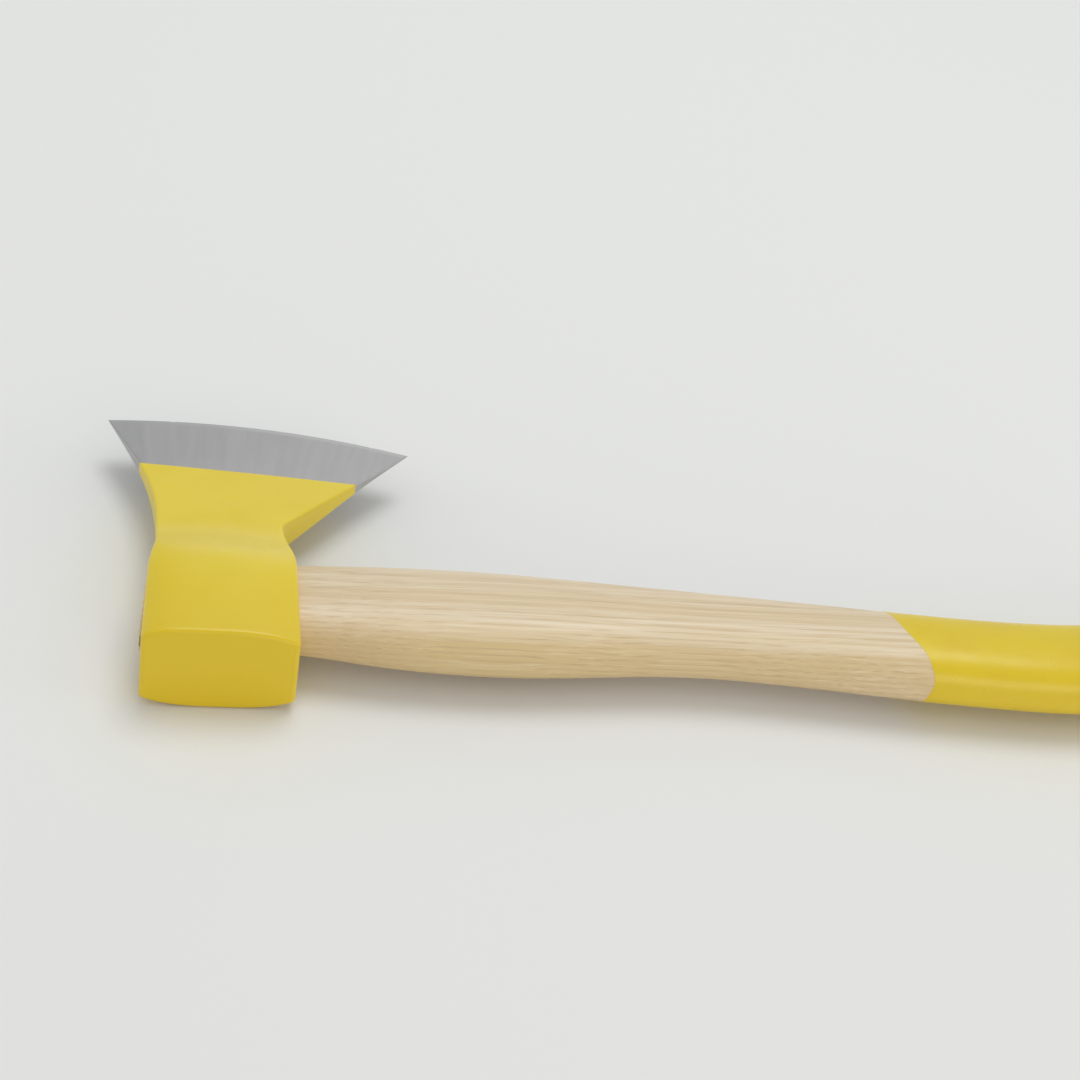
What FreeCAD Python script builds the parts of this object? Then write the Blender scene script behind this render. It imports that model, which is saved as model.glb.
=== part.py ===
"""Small hand axe: one forged head, an ash handle, a wooden wedge and a steel ring wedge.

The axe lies on its side.  +X runs along the handle from the head to the knob, +Y runs from
the poll to the cutting edge and +Z is up, across the thickness of the head.  Sizes are in
millimetres.  Each sub-part is drawn about the middle of the poll face, and place() then
moves it so that the origin is on the surface, under the middle of the whole axe.
"""
import FreeCAD, Part
import math
import os

from FreeCAD import Vector

# ---- driving dimensions: head ----
POLL_HEIGHT = 47.6          # poll face, along the handle
POLL_WIDTH = 30.7           # poll face, cheek to cheek at the middle
POLL_END_WIDTH = 24.0       # poll face, cheek to cheek at its two ends
CHEEK_POWER = 3.2           # 2 gives evenly round cheeks, more makes them flatter in the middle
HEAD_LENGTH = 132.7         # poll face to the furthest point of the cutting edge
EDGE_RADIUS = 240.0         # radius of the curved cutting edge
EDGE_CENTRE_X = -13.5       # where along the handle the edge reaches furthest
TOE_TIP_X = -39.3           # upper tip of the cutting edge
HEEL_TIP_X = 64.9           # lower tip of the cutting edge, below the beard
TOE_SHOULDER = (-22.8, 37.0, 45.0)  # where the toe side steps in past the eye: X, Y and radius
TOE_NECK = (-20.9, 50.0, 38.0)      # where that step ends
TOE_FLARE = (-20.9, 88.0, 110.0)    # where the toe's flare leaves the neck
BEARD_FLARE = (45.3, 97.8, 300.0)   # where the beard's lower side flares to the heel tip
BEARD_ROOT = (19.3, 67.5, 5.0)      # inner corner between beard and eye
HEEL_SHOULDER = (23.4, 43.5, 60.0)  # where the eye's heel side turns to the beard

# ---- driving dimensions: handle ----
TONGUE_END_X = -24.5        # handle's upper end before it is trimmed
TONGUE_CUT = ((-24.4, 12.0), (-22.4, 50.0))     # two points of its trimmed end, X and Y
KNOB_END_X = 335.5          # handle's lower end
SECTION_FULLNESS = 0.04     # 0 is a plain ellipse, more is a squarer oval
KNOB_ROUNDING = 4.0

# Sections of the handle: x, middle along Y, half height along Y, half thickness along Z.
HANDLE_SECTIONS = (
    (TONGUE_END_X, 31.0, 18.8, 9.4),
    (0.0, 31.0, 18.2, 8.8),
    (24.0, 30.9, 18.1, 8.6),
    (45.0, 29.6, 19.7, 9.7),
    (70.0, 28.3, 20.7, 10.6),
    (95.0, 27.6, 20.2, 10.9),
    (120.0, 27.5, 18.4, 10.5),
    (145.0, 27.3, 16.8, 10.0),
    (170.0, 25.8, 16.2, 9.9),
    (195.0, 23.4, 16.3, 10.0),
    (220.0, 20.7, 16.5, 10.2),
    (245.0, 18.6, 16.6, 10.3),
    (272.0, 17.3, 16.9, 10.5),
    (298.0, 18.6, 17.7, 11.0),
    (318.0, 20.9, 19.8, 12.0),
    (KNOB_END_X, 22.4, 20.8, 12.6),
)

# ---- driving dimensions: wedges ----
KERF_DEPTH = 32.0           # saw cut in the tongue, from its end before trimming
WEDGE_TIP_THICKNESS = 0.8
WEDGE_END_THICKNESS = 4.4
RING_OUTER_RADIUS = 7.0
RING_WALL = 1.6
RING_DEPTH = 11.0
RING_START_X = -22.8        # the ring's driven end, just below the trimmed end of the tongue

# ---- small roundings on the forged head ----
POLL_ROUNDING = 1.4
SIDE_ROUNDING = 0.5
SIDE_ROUNDING_END_Y = 39.0  # only side edges that end below this Y are rounded

CUT_MARGIN = 2.0            # how far cutting shapes run past what they cut
TOLERANCE = 0.1             # slack when edges are picked by where they lie

HALF_POLL = POLL_HEIGHT / 2
EDGE_CENTRE_Y = HEAD_LENGTH - EDGE_RADIUS
EYE_MIDDLE_Y = HANDLE_SECTIONS[0][1]

# Half thickness of the blade against the distance from the cutting edge.
BIT_BEVEL = ((0.0, 0.12), (2.2, 0.5))
BODY_PROFILE = ((2.2, 0.5), (13.0, 1.1), (25.0, 1.95), (35.0, 2.9), (44.0, 3.85), (53.0, 4.75),
                (61.0, 5.55), (67.0, 6.25), (73.0, 7.6), (79.0, 9.9), (85.0, 12.4), (91.0, 14.4),
                (97.0, 15.6), (106.0, 16.8))


def edge_y(x):
    """The cutting edge's Y at the given X."""
    return EDGE_CENTRE_Y + math.sqrt(EDGE_RADIUS ** 2 - (x - EDGE_CENTRE_X) ** 2)


def line(a, b):
    return Part.LineSegment(Vector(*a), Vector(*b)).toShape()


def spline(points, periodic=False):
    """A smooth edge through the points."""
    curve = Part.BSplineCurve()
    curve.interpolate([Vector(*p) for p in points], periodic)
    return curve.toShape()


def rounded_path(corners, z):
    """Straight edges between the corners, each a tuple of x, y and the radius at that corner."""
    edges = []
    here = Vector(corners[0][0], corners[0][1], z)
    for i in range(1, len(corners) - 1):
        x, y, radius = corners[i]
        corner = Vector(x, y, z)
        back = (Vector(corners[i - 1][0], corners[i - 1][1], z) - corner).normalize()
        onward = (Vector(corners[i + 1][0], corners[i + 1][1], z) - corner).normalize()
        half_angle = back.getAngle(onward) / 2
        setback = radius / math.tan(half_angle)
        bisector = (back + onward).normalize()
        start = corner + back * setback
        end = corner + onward * setback
        middle = corner + bisector * (radius / math.sin(half_angle) - radius)
        edges.append(line(here, start))
        edges.append(Part.Arc(start, middle, end).toShape())
        here = end
    edges.append(line(here, Vector(corners[-1][0], corners[-1][1], z)))
    return edges


def side_outline():
    """The head seen from its cheek: poll, flared toe, cutting edge and bearded heel."""
    z = -POLL_WIDTH
    toe_tip = (TOE_TIP_X, edge_y(TOE_TIP_X))
    heel_tip = (HEEL_TIP_X, edge_y(HEEL_TIP_X))
    toe_side = [(-HALF_POLL, 0, 0), TOE_SHOULDER, TOE_NECK, TOE_FLARE, (*toe_tip, 0)]
    heel_side = [(*heel_tip, 0), BEARD_FLARE, BEARD_ROOT, HEEL_SHOULDER, (HALF_POLL, 0, 0)]
    cutting_edge = Part.Arc(Vector(*toe_tip, z), Vector(EDGE_CENTRE_X, HEAD_LENGTH, z),
                            Vector(*heel_tip, z)).toShape()
    edges = rounded_path(toe_side, z) + [cutting_edge] + rounded_path(heel_side, z)
    edges.append(line((HALF_POLL, 0, z), (-HALF_POLL, 0, z)))
    return Part.Face(Part.Wire(edges)).extrude(Vector(0, 0, -2 * z))


def cheek_half(x):
    """Half thickness of the eye and poll at the given X."""
    fall = (POLL_WIDTH - POLL_END_WIDTH) / 2
    return POLL_WIDTH / 2 - fall * (abs(x) / HALF_POLL) ** CHEEK_POWER


def cheek_barrel(stations=8):
    """The bulging cheeks of the eye and poll, and level planes on past the toe and heel."""
    reach = HEEL_TIP_X + CUT_MARGIN
    bulge_reach = HALF_POLL + CUT_MARGIN
    back = -CUT_MARGIN
    end = cheek_half(bulge_reach)
    edges = []
    for side in (1, -1):
        across = [side * bulge_reach * (2 * i / stations - 1) for i in range(stations + 1)]
        bulge = [(x, back, side * cheek_half(x)) for x in across]
        far_right = (side * reach, back, side * end)
        edges.append(line((-side * reach, back, side * end), bulge[0]))
        edges.append(spline(bulge))
        edges.append(line(bulge[-1], far_right))
        edges.append(line(far_right, (side * reach, back, -side * end)))
    return Part.Face(Part.Wire(edges)).extrude(Vector(0, HEAD_LENGTH + 2 * CUT_MARGIN, 0))


def blade_wedge():
    """The body of the blade, thinning towards the curved edge at the same angle all along it."""
    def at(distance, half):
        return (EDGE_CENTRE_X + EDGE_RADIUS - distance, EDGE_CENTRE_Y, half)

    bevel = [at(*p) for p in BIT_BEVEL]
    body = [at(*p) for p in BODY_PROFILE]
    inner = HEAD_LENGTH + CUT_MARGIN
    shoulder = at(inner, BODY_PROFILE[-1][1])
    rim = at(0, 0)
    edges = [line(rim, bevel[0]), line(*bevel), spline(body), line(body[-1], shoulder),
             line(shoulder, at(inner, 0)), line(at(inner, 0), rim)]
    centre = Vector(EDGE_CENTRE_X, EDGE_CENTRE_Y, 0)
    top = Part.Face(Part.Wire(edges)).revolve(centre, Vector(0, 0, 1), 360)
    bottom = top.mirror(centre, Vector(0, 0, 1))
    return top.fuse(bottom).removeSplitter()


def oval_wire(x, middle, half_height, half_thickness, count=16):
    """A closed flattened oval across the handle."""
    points = []
    for i in range(count):
        angle = 2 * math.pi * i / count
        y = (math.cos(angle) - SECTION_FULLNESS * math.cos(3 * angle)) / (1 - SECTION_FULLNESS)
        z = (math.sin(angle) + SECTION_FULLNESS * math.sin(3 * angle)) / (1 - SECTION_FULLNESS)
        points.append((x, middle + half_height * y, half_thickness * z))
    return Part.Wire(spline(points, True))


def handle_blank():
    """The whole handle, its tongue trimmed but not yet sawn and wedged."""
    loft = Part.makeLoft([oval_wire(*section) for section in HANDLE_SECTIONS], True, False)
    knob_rim = [edge for edge in loft.Edges if edge.BoundBox.XMin > KNOB_END_X - TOLERANCE]
    return loft.makeFillet(KNOB_ROUNDING, knob_rim).cut(tongue_offcut())


def tongue_offcut():
    """What the slanting cut takes off the end of the tongue."""
    (low_x, low_y), (high_x, high_y) = TONGUE_CUT
    along = Vector(high_x - low_x, high_y - low_y, 0)
    start = Vector(low_x, low_y, -POLL_WIDTH) - along
    end = Vector(high_x, high_y, -POLL_WIDTH) + along
    away = Vector(-POLL_WIDTH, 0, 0)
    face = Part.Face(Part.makePolygon([start, end, end + away, start + away, start]))
    return face.extrude(Vector(0, 0, 2 * POLL_WIDTH))


def wood_wedge_blank():
    """The wedge of the saw cut, longer than the tongue is high, before it is trimmed to it."""
    tip_x = TONGUE_END_X + KERF_DEPTH
    end = WEDGE_END_THICKNESS / 2
    tip = WEDGE_TIP_THICKNESS / 2
    corners = [(TONGUE_END_X, end), (tip_x, tip), (tip_x, -tip), (TONGUE_END_X, -end)]
    points = [Vector(x, 0, z) for x, z in corners]
    profile = Part.Face(Part.makePolygon(points + points[:1]))
    return profile.extrude(Vector(0, 2 * EYE_MIDDLE_Y, 0))


def ring_tube(start_x, end_x):
    """A tube along the middle of the tongue, of the ring wedge's bore and outside."""
    start = Vector(start_x, EYE_MIDDLE_Y, 0)
    length = end_x - start_x
    outer = Part.makeCylinder(RING_OUTER_RADIUS, length, start, Vector(1, 0, 0))
    inner = Part.makeCylinder(RING_OUTER_RADIUS - RING_WALL, length, start, Vector(1, 0, 0))
    return outer.cut(inner)


def ring_wedge():
    """A short steel tube driven across the wooden wedge."""
    return ring_tube(RING_START_X, RING_START_X + RING_DEPTH)


def ring_slot():
    """The groove that the ring wedge cuts, open at the end of the tongue."""
    return ring_tube(TONGUE_END_X - CUT_MARGIN, RING_START_X + RING_DEPTH)


def on_poll_rim(edge):
    """True for the edges round the poll face."""
    return edge.BoundBox.YMax < TOLERANCE


def beside_eye(edge):
    """True for the long edges between a cheek and the toe or heel side of the eye."""
    box = edge.BoundBox
    off_middle = box.ZMin > 0 or box.ZMax < 0
    across = box.XLength > HALF_POLL
    return off_middle and not across and box.YLength > TOLERANCE and box.YMax < SIDE_ROUNDING_END_Y


def axe_head(handle):
    """The forged head with its eye cut to the tongue."""
    body = side_outline().common(cheek_barrel()).common(blade_wedge()).Solids[0]
    body = body.makeFillet(SIDE_ROUNDING, [edge for edge in body.Edges if beside_eye(edge)])
    body = body.makeFillet(POLL_ROUNDING, [edge for edge in body.Edges if on_poll_rim(edge)])
    return body.cut(handle)


def place(shape):
    """Move a shape from the poll face to the axe's own frame."""
    middle_x = (TOE_TIP_X + KNOB_END_X) / 2
    moved = shape.copy()
    moved.translate(Vector(-middle_x, -HEAD_LENGTH / 2, POLL_WIDTH / 2))
    return moved


def main():
    os.makedirs("parts", exist_ok=True)
    blank = handle_blank()
    slot = ring_slot()
    wedge_blank = wood_wedge_blank()
    shapes = {
        "axe_head": axe_head(blank),
        "handle": blank.cut(wedge_blank).cut(slot),
        "wood_wedge": wedge_blank.common(blank).cut(slot),
        "ring_wedge": ring_wedge(),
    }
    for name, shape in shapes.items():
        placed = place(shape)
        print(name, placed.isValid(), len(placed.Solids), round(placed.Volume), placed.BoundBox)
        placed.exportStep("parts/" + name + ".step")


main()
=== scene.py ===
"""Looks of the small hand axe: painted forged head, ground bit, ash handle and its wedges."""
import math

import bmesh
import bpy
import numpy as np
from mathutils import Matrix, Vector, noise


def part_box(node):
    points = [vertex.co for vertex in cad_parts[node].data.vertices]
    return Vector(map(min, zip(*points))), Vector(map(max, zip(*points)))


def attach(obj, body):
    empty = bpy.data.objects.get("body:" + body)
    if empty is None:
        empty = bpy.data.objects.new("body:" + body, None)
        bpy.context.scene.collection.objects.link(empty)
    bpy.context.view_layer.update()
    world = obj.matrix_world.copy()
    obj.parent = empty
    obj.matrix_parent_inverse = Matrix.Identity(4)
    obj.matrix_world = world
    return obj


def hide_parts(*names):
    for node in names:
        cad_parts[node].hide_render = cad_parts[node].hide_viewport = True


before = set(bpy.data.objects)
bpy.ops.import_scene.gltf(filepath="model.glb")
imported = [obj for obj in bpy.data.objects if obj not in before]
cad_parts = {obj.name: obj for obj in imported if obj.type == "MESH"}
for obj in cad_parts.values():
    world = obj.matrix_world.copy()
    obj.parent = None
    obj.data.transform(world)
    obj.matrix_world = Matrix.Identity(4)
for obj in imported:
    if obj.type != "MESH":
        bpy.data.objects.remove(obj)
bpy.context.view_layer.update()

# ---- driving dimensions, in millimetres from the middle of the poll face ----
POLL_HEIGHT = 47.6
POLL_WIDTH = 30.7
# How far each cheek falls towards its toe and heel ends, and the power of that curve.
CHEEKS = {1: ((3.2, 6.0), (3.6, 2.4)), -1: ((3.3, 3.2), (3.3, 3.2))}
HEAD_LENGTH = 132.7
EDGE_RADIUS = 240.0
EDGE_CENTRE_X = -13.5
TOE_TIP_X = -39.3
HEEL_TIP_X = 64.9
# Corners of the head's outline: X, Y and the radius that rounds each.
TOE_SHOULDER = (-22.8, 37.0, 45.0)
TOE_NECK = (-20.9, 50.0, 38.0)
TOE_FLARE = (-20.9, 88.0, 110.0)
BEARD_FLARE = (45.3, 97.8, 300.0)
BEARD_ROOT = (19.3, 67.5, 5.0)
HEEL_SHOULDER = (23.4, 43.5, 60.0)
MICRO_BEVEL = (2.0, 0.48)   # depth from the cutting edge and half thickness there
# Half thickness of the blade and neck against the distance from the cutting edge.
BLADE_PROFILE = (MICRO_BEVEL, (13.0, 1.1), (25.0, 1.95), (35.0, 2.9), (44.0, 3.85), (53.0, 4.75),
                 (61.0, 5.55), (67.0, 6.25), (73.0, 7.6), (79.0, 9.9), (85.0, 12.4), (91.0, 14.7),
                 (97.0, 16.4), (103.0, 17.6), (111.0, 19.0), (149.0, 22.5))
TONGUE_END_X = -24.5
TONGUE_CUT = ((-24.4, 12.0), (-22.4, 50.0))     # two points of the trimmed end
KNOB_END_X = 335.5
SECTION_FULLNESS = 0.04     # 0 would make the handle's sections ellipses
# Sections of the handle: X, Y of the middle, half width along Y and half thickness along Z.
HANDLE_SECTIONS = (
    (-24.5, 31.0, 18.8, 9.4), (0.0, 31.0, 18.2, 8.8), (24.0, 30.9, 18.1, 8.6),
    (45.0, 29.6, 19.7, 9.7), (70.0, 28.3, 20.7, 10.6), (95.0, 27.6, 20.2, 10.9),
    (120.0, 27.5, 18.4, 10.5), (145.0, 27.3, 16.8, 10.0), (170.0, 25.8, 16.2, 9.9),
    (195.0, 23.4, 16.3, 10.0), (220.0, 20.7, 16.5, 10.2), (245.0, 18.6, 16.6, 10.3),
    (272.0, 17.3, 16.9, 10.5), (298.0, 18.6, 17.7, 11.0), (318.0, 20.9, 19.8, 12.0),
    (335.5, 22.4, 20.8, 12.6),
)
KERF_DEPTH = 32.0
WEDGE_TIP_THICKNESS = 0.8
WEDGE_END_THICKNESS = 4.4
RING_OUTER_RADIUS = 7.0
RING_WALL = 1.6
RING_DEPTH = 11.0
RING_START_X = -22.8

# ---- details that only the looks have ----
PAINT_LINE = ((-27.0, 103.5), (45.4, 97.8))    # two points of the straight edge of the paint
PAINT_THICKNESS = 0.09
CREST_BLEND = 3.5           # how softly the cheeks of the eye run into the blade
EYE_ROUNDING = 1.3
BLADE_ROUNDING = 0.6
ROUNDING_CHANGE = (52.0, 72.0)      # Y where the first gives way to the second
POLL_ROUNDING = 1.5
EYE_DEBURR = 0.4
EDGE_WEAR = 0.02            # how far the cutting edge is dulled back
EYE_CLEARANCE = 0.1
EYE_PATCH = (7.0, 55.0)     # Y range of the wall that holds the eye
NECK_ROWS_Y = 60.0          # rows run straight across up to here, then lean with the paint line
NICKS = ((-17.0, 0.28, 0.7), (52.0, 0.22, 0.8), (21.0, 0.12, 0.6))  # X, depth and half width
DIP_MIDDLE = (220.8, 22.5)  # a point of the grip paint's edge: X and Y
DIP_SLOPE = -0.35           # how far that edge runs along X for each unit of Y
DIP_REACH = 45.0            # rows of the handle lean with that edge within this distance
DIP_THICKNESS = 0.1
KNOB_ROUNDING = 4.0
KNOB_DOME = 0.9
TONGUE_CHAMFER = 0.4
TRIM_REACH = 25.0           # the rows lean with the trimmed end this far from it

SEAM = 0.05                 # gap round each wedge
CUTTER_REACH = 2.0          # how far the shapes that cut the wedges' slots pass the tongue's end
RING_SOFTNESS = 0.3         # rounding of the ring's driven rim
RING_WAIST = 0.6            # share of the ring's length before its wall thins
ROUNDING_SHARE = 0.6        # a rounding takes at most this share of a thin wall
SHARP_DEGREES = 34          # edges that turn more than this are shaded sharp

# Unevenness of each surface: height, size of a bump and seed.
FORGED_BUMPS = ((0.05, 11, 3), (0.02, 3.5, 8))
FORGED_FADE = 4.0           # they fade out within this distance of the head's middle plane
POLL_BUMPS = (0.03, 9, 5)
HANDLE_BUMPS = ((0.06, 14, 2), (0.03, 5, 9))
SPLINTERS = (0.1, 3, 4)     # on the wooden wedge's driven end
RING_BURR = (0.04, 2.2, 6)
DIP_RIPPLES = ((0.35, 3, 0.6), (0.2, 7, 0.0))  # height, waves round the grip and phase

# ---- mesh resolution, and rounds of the searches ----
CORNER_STEPS = 14
CROSSING_ROUNDS = 50        # halvings that find where a row meets a side
CROSSING_MARGIN = 1.0       # the search starts this far outside the tips
LEAN_ROUNDS = 6             # a leaning row's X and Y each depend on the other
CHEEK_STEPS = 150
ROUND_STEPS = 5
WALL_STEPS = 8              # from the middle of a side wall to its rounding
POLL_ROUND_ROWS = 6
EYE_ROWS = 48
NECK_ROWS = 30
BIT_ROWS = 24
BEVEL_SHARES = (0.35, 0.7)              # rows of the bevel, from its start to the edge
EYE_WALL_SHARES = (0.3, 0.6, 0.85, 1.0)     # loops from the wall's rim to the eye
EYE_LOOPS = 7
WOOD_ROWS = 150
GRIP_ROWS = 70
KNOB_ROUND_ROWS = 9
CAP_SHARES = (0.9, 0.75, 0.6, 0.45, 0.3, 0.15)
HANDLE_AROUND = 144
WEDGE_COUNTS = (16, 48, 8)
RING_AROUND = 96
RING_ROUND_POINTS = 6

HALF_POLL = POLL_HEIGHT / 2
EDGE_CENTRE_Y = HEAD_LENGTH - EDGE_RADIUS
MM = 0.001
HEAD_LOW, HEAD_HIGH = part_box("axe_head")
ORIGIN = np.array([HEAD_LOW.x - TOE_TIP_X * MM, HEAD_LOW.y, (HEAD_LOW.z + HEAD_HIGH.z) / 2])


# ---------------------------------------------------------------- curves
def natural_spline(knots, values, at):
    """Values at the given places of the natural cubic spline through the knots."""
    knots = np.asarray(knots, float)
    values = np.asarray(values, float)
    at = np.asarray(at, float)
    count = len(knots)
    gap = np.diff(knots)
    slope = np.diff(values) / gap
    system = np.eye(count)
    right = np.zeros(count)
    for i in range(1, count - 1):
        system[i, i - 1:i + 2] = (gap[i - 1], 2 * (gap[i - 1] + gap[i]), gap[i])
        right[i] = 6 * (slope[i] - slope[i - 1])
    bend = np.linalg.solve(system, right)
    i = np.clip(np.searchsorted(knots, at) - 1, 0, count - 2)
    before = at - knots[i]
    after = knots[i + 1] - at
    return ((bend[i] * after ** 3 + bend[i + 1] * before ** 3) / (6 * gap[i])
            + (values[i] / gap[i] - bend[i] * gap[i] / 6) * after
            + (values[i + 1] / gap[i] - bend[i + 1] * gap[i] / 6) * before)


def rounded_path(corners):
    """Points along straight lines between the corners, each corner rounded to its radius."""
    points = [np.array(corners[0][:2], float)]
    for i in range(1, len(corners) - 1):
        corner = np.array(corners[i][:2], float)
        radius = corners[i][2]
        back = np.array(corners[i - 1][:2], float) - corner
        onward = np.array(corners[i + 1][:2], float) - corner
        back /= np.linalg.norm(back)
        onward /= np.linalg.norm(onward)
        half = math.acos(np.dot(back, onward)) / 2
        bisector = (back + onward) / np.linalg.norm(back + onward)
        across = (onward - back) / np.linalg.norm(onward - back)
        centre = corner + bisector * radius / math.sin(half)
        turn = math.pi / 2 - half
        for angle in np.linspace(-turn, turn, CORNER_STEPS):
            points.append(centre + radius * (across * math.sin(angle) - bisector * math.cos(angle)))
    points.append(np.array(corners[-1][:2], float))
    return np.array(points)


def smooth_step(t):
    t = np.clip(t, 0, 1)
    return t * t * (3 - 2 * t)


def edge_y(x, inside=0.0):
    """The cutting edge's Y, or that of the parallel curve at a distance inside it."""
    return EDGE_CENTRE_Y + np.sqrt((EDGE_RADIUS - inside) ** 2 - (x - EDGE_CENTRE_X) ** 2)


def paint_y(x):
    """The straight edge of the head's paint."""
    (x0, y0), (x1, y1) = PAINT_LINE
    return y0 + (x - x0) * (y1 - y0) / (x1 - x0)


TOE_SIDE = rounded_path([(-HALF_POLL, 0, 0), TOE_SHOULDER, TOE_NECK, TOE_FLARE,
                         (TOE_TIP_X, edge_y(TOE_TIP_X), 0)])
HEEL_SIDE = rounded_path([(HALF_POLL, 0, 0), HEEL_SHOULDER, BEARD_ROOT, BEARD_FLARE,
                          (HEEL_TIP_X, edge_y(HEEL_TIP_X), 0)])


def toe_x(y):
    return np.interp(y, TOE_SIDE[:, 1], TOE_SIDE[:, 0])


def heel_x(y):
    return np.interp(y, HEEL_SIDE[:, 1], HEEL_SIDE[:, 0])


def crossing(side, row):
    """X where a row meets the toe or heel side of the head."""
    low, high = TOE_TIP_X - CROSSING_MARGIN, HEEL_TIP_X + CROSSING_MARGIN
    for _ in range(CROSSING_ROUNDS):
        middle = (low + high) / 2
        if middle < side(row(middle)):
            low = middle
        else:
            high = middle
    return (low + high) / 2


def cheek_height(x, y, side):
    """How far a cheek stands from the middle plane of the head."""
    toe_end, heel_end = CHEEKS[side]
    out = np.minimum(np.abs(x) / HALF_POLL, 1)
    fall = np.where(x < 0, toe_end[0] * out ** toe_end[1], heel_end[0] * out ** heel_end[1])
    barrel = POLL_WIDTH / 2 - fall
    distance = np.maximum(EDGE_RADIUS - np.hypot(x - EDGE_CENTRE_X, y - EDGE_CENTRE_Y), 0)
    bevel = distance * MICRO_BEVEL[1] / MICRO_BEVEL[0]
    body = natural_spline(*zip(*BLADE_PROFILE), np.maximum(distance, MICRO_BEVEL[0]))
    blade = np.where(distance < MICRO_BEVEL[0], bevel, body)
    share = np.clip(0.5 + (blade - barrel) / (2 * CREST_BLEND), 0, 1)
    return blade * (1 - share) + barrel * share - CREST_BLEND * share * (1 - share)


# ---------------------------------------------------------------- meshes
class Skin:
    """Collects vertices in millimetres and faces, then makes one welded mesh object."""

    def __init__(self):
        self.points = []
        self.faces = []
        self.slots = []

    def add(self, points):
        start = len(self.points)
        self.points.extend(np.asarray(points, float).reshape(-1, 3).tolist())
        return list(range(start, len(self.points)))

    def face(self, indices, slot):
        self.faces.append(list(indices))
        self.slots.append(slot)

    def strip(self, first, second, closed=False, slot=0, skip=()):
        """Quads between two rows of vertices."""
        count = len(first)
        for i in range(count if closed else count - 1):
            if i not in skip:
                j = (i + 1) % count
                self.face((first[i], first[j], second[j], second[i]), slot)

    def fan(self, ring, centre, slot):
        for i, vertex in enumerate(ring):
            self.face((vertex, ring[(i + 1) % len(ring)], centre), slot)

    def build(self, name, materials):
        mesh = bpy.data.meshes.new(name)
        placed = np.array(self.points) * MM + ORIGIN
        mesh.from_pydata(placed.tolist(), [], self.faces)
        mesh.polygons.foreach_set("material_index", self.slots)
        for material in materials:
            mesh.materials.append(material)
        obj = bpy.data.objects.new(name, mesh)
        bpy.context.scene.collection.objects.link(obj)
        clean(obj)
        return obj


def clean(obj):
    """Welds and orients the mesh, shades it smooth and marks its sharp edges."""
    work = bmesh.new()
    work.from_mesh(obj.data)
    bmesh.ops.remove_doubles(work, verts=work.verts, dist=1e-6)
    bmesh.ops.recalc_face_normals(work, faces=work.faces)
    work.to_mesh(obj.data)
    work.free()
    obj.data.polygons.foreach_set("use_smooth", [True] * len(obj.data.polygons))
    obj.data.set_sharp_from_angle(angle=math.radians(SHARP_DEGREES))


def carve(obj, *cutters):
    """Cuts other meshes out of a mesh and deletes them."""
    for cutter in cutters:
        step = obj.modifiers.new("carve", "BOOLEAN")
        step.object = cutter
        step.operation = "DIFFERENCE"
        step.solver = "EXACT"
        depsgraph = bpy.context.evaluated_depsgraph_get()
        result = bpy.data.meshes.new_from_object(obj.evaluated_get(depsgraph))
        obj.modifiers.clear()
        obj.data = result
        bpy.data.objects.remove(cutter)
    clean(obj)


def waves(x, y, z, size, seed):
    """Smooth unevenness between -1 and 1, with bumps about this many millimetres across."""
    return noise.noise(Vector((x / size + seed, y / size - seed, z / size + 2 * seed)))


# ---------------------------------------------------------------- the forged head
def cheek_line(row, low, high, inset, rounding, side):
    """X and height across one cheek, with the roundings down to the walls at both ends."""
    def height(x):
        return np.maximum(cheek_height(x, row(x), side) - inset, 0.0)

    x = np.linspace(low + rounding, high - rounding, CHEEK_STEPS + 1)
    cheek = np.stack([x, height(x)], 1)
    t = np.linspace(0, 1, ROUND_STEPS + 1)[1:, None]
    ends = []
    for end, start in ((low, cheek[0]), (high, cheek[-1])):
        top = float(height(end))
        corner = np.array([end, top])
        foot = np.array([end, top - min(rounding, ROUNDING_SHARE * top)])
        ends.append((1 - t) ** 2 * start + 2 * t * (1 - t) * corner + t ** 2 * foot)
    return np.concatenate([ends[0][::-1], cheek, ends[1]])


def head_loop(row, inset):
    """One closed loop round the head: upper cheek, heel wall, lower cheek, toe wall."""
    low = crossing(toe_x, row) + inset
    high = crossing(heel_x, row) - inset
    start, end = ROUNDING_CHANGE
    blade = float(smooth_step((float(row((low + high) / 2)) - start) / (end - start)))
    rounding = EYE_ROUNDING + (BLADE_ROUNDING - EYE_ROUNDING) * blade
    upper = cheek_line(row, low, high, inset, rounding, 1)
    lower = cheek_line(row, low, high, inset, rounding, -1)[::-1] * (1, -1)
    share = np.linspace(0, 1, 2 * WALL_STEPS + 1)[1:-1, None]
    heel_wall = upper[-1] * (1 - share) + lower[0] * share
    toe_wall = lower[-1] * (1 - share) + upper[0] * share
    loop = np.concatenate([upper, heel_wall, lower, toe_wall])
    return np.stack([loop[:, 0], row(loop[:, 0]), loop[:, 1]], 1)


UPPER_COUNT = CHEEK_STEPS + 2 * ROUND_STEPS + 1
WALL_INSIDE = 2 * WALL_STEPS - 1
LOWER_START = UPPER_COUNT + WALL_INSIDE
LOOP_COUNT = 2 * (UPPER_COUNT + WALL_INSIDE)


def heel_wall_ids(loop):
    """The heel wall's vertices, top to bottom."""
    return loop[UPPER_COUNT - 1:LOWER_START + 1]


def toe_wall_ids(loop):
    """The toe wall's vertices, top to bottom."""
    return [loop[0]] + loop[:LOWER_START + UPPER_COUNT - 2:-1]


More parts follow.
